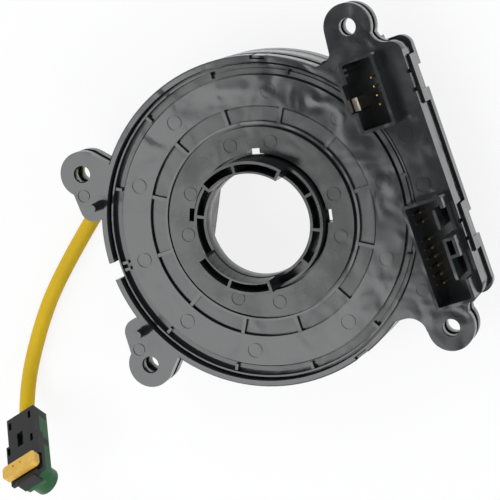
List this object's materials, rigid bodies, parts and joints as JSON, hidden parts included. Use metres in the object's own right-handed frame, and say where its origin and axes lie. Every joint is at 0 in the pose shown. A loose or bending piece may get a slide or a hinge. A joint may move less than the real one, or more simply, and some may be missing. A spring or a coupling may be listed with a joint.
{
  "type": "steering clock spring",
  "caption": "Round steering-column rotary connector with a column-side box of two pin headers, a turning hub with two raised lobes, and a yellow airbag lead.",
  "frame": {"origin": "on the spin axis, at the lowest face of the rotor, which is the mouth of the wheel-side bore", "axes": "+Z along the spin axis out of the column side, +X towards the box with the pin headers"},
  "size_m": [0.185, 0.1263, 0.0395],
  "materials": {
    "housing_black": "satin moulded",
    "rotor_black": "smooth moulded",
    "gold_contact": "plated",
    "spring_steel": "plain",
    "natural_plastic": "moulded",
    "cable_film": "smooth film",
    "slip_film": "smooth film",
    "grommet_black": "soft",
    "yellow_sleeve": "soft satin",
    "connector_green": "moulded",
    "connector_dark": "moulded",
    "lock_amber": "moulded",
    "ferrite_grey": "sintered"
  },
  "bodies": {
    "stator": {"rear_housing": "housing_black", "front_case": "housing_black", "upper_header_pins": "gold_contact", "lower_header_pins": "gold_contact", "shorting_bar": "spring_steel", "terminal_carrier": "natural_plastic", "flat_cable": "cable_film", "lower_slip_sheet": "slip_film", "upper_slip_sheet": "slip_film", "outer_end_block": "natural_plastic", "outer_terminals": "gold_contact"},
    "rotor": {"rotor": "rotor_black", "rotor_sleeve": "rotor_black", "inner_end_block": "natural_plastic", "inner_terminals": "gold_contact", "wheel_side_socket": "rotor_black", "lead_gland": "grommet_black", "airbag_lead": "yellow_sleeve", "squib_body": "connector_green", "squib_cover": "connector_dark", "squib_contacts": "gold_contact", "squib_ferrite": "ferrite_grey"},
    "lock": {"squib_lock": "lock_amber"}
  },
  "joints": [
    {"name": "rotor_spin", "type": "hinge", "parent": "stator", "child": "rotor", "pos_m": [0, 0, 0], "axis": [0, 0, 1], "range_deg": [-900, 900]},
    {"name": "lock_push", "type": "slide", "parent": "rotor", "child": "lock", "axis": [0.1784, -0.7236, -0.6668], "range_m": [0, 0.0014]}
  ]
}
